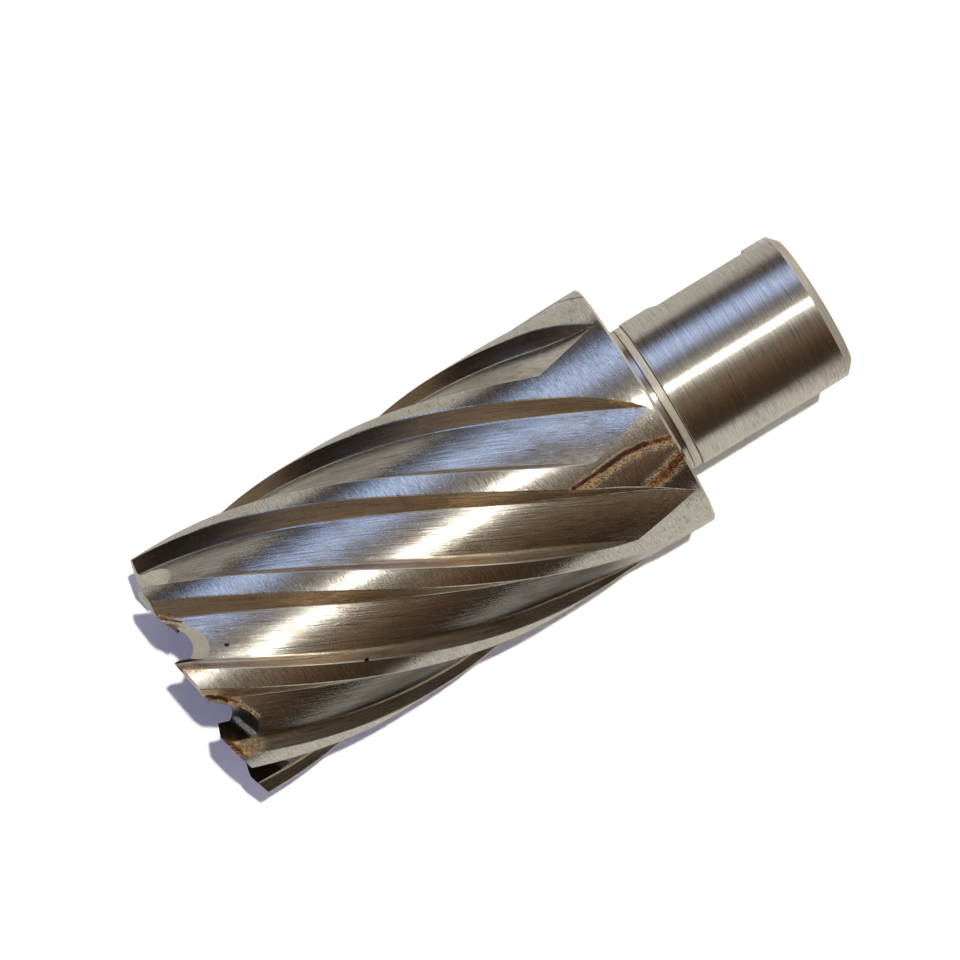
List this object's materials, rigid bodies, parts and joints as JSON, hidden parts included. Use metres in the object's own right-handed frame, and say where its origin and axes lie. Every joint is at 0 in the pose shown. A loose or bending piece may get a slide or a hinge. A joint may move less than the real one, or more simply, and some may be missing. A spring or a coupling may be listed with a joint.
{
  "type": "annular cutter",
  "caption": "Hollow hole-cutting tool for a magnetic drill: helical-fluted steel tube with toothed rim, slug cavity, pilot bore and a round shank with clamping flats.",
  "frame": {"origin": "centre of the shank's flat end face, on which the cutter stands", "axes": "+Z along the cutter's axis from the shank to the teeth; the first clamping flat faces 8 degrees from +X towards +Y"},
  "size_m": [0.0318, 0.0318, 0.0852],
  "materials": {
    "tool_steel": "ground high-speed steel, lightly stained, with a little rust"
  },
  "bodies": {
    "root": {"annular_cutter": "tool_steel"}
  },
  "joints": []
}
